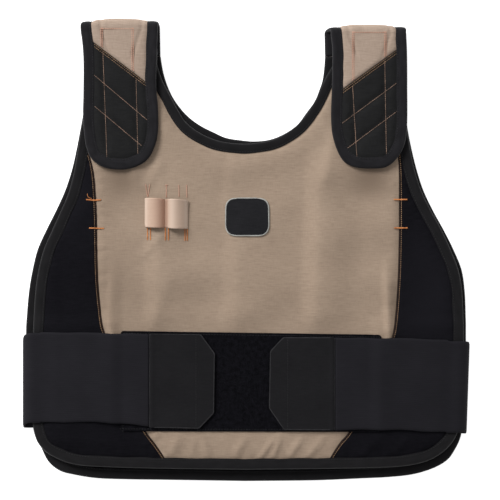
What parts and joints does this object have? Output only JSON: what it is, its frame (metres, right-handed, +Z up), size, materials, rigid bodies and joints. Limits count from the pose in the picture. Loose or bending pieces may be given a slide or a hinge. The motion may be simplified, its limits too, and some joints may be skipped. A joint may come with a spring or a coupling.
{
  "type": "cooling vest",
  "caption": "Padded cooling vest laid flat with its front up, with bound edges, fold-over shoulder straps and elastic side belts closed on a loop field.",
  "frame": {"origin": "on the table, under the middle of the vest", "axes": "+X to the right seen from above, +Y from the hem to the shoulders, +Z up from the table through the front"},
  "size_m": [0.491, 0.51, 0.0249],
  "materials": {
    "canvas": "matte woven canvas",
    "side_cloth": "matte woven",
    "binding_tape": "matte twill tape",
    "quilted_cloth": "matte quilted",
    "elastic": "ribbed elastic",
    "tab_cloth": "matte woven",
    "loop_pile": "looped pile",
    "pen_elastic": "woven elastic",
    "patch_cloth": "woven patch"
  },
  "bodies": {
    "root": {"back_panel": "canvas", "back_edge_binding": "binding_tape", "back_neck_binding": "binding_tape", "front_panel_centre": "canvas", "front_panel_side_left": "side_cloth", "front_panel_side_right": "side_cloth", "front_edge_binding": "binding_tape", "front_neck_binding": "binding_tape", "shoulder_strap_left": "canvas", "shoulder_strap_right": "canvas", "strap_end_left": "quilted_cloth", "strap_end_right": "quilted_cloth", "strap_binding_left": "binding_tape", "strap_binding_right": "binding_tape", "loop_field": "loop_pile", "belt_left": "elastic", "belt_right": "elastic", "belt_tab_left": "tab_cloth", "belt_tab_right": "tab_cloth", "pen_loops": "pen_elastic", "chest_patch": "patch_cloth"}
  },
  "joints": []
}
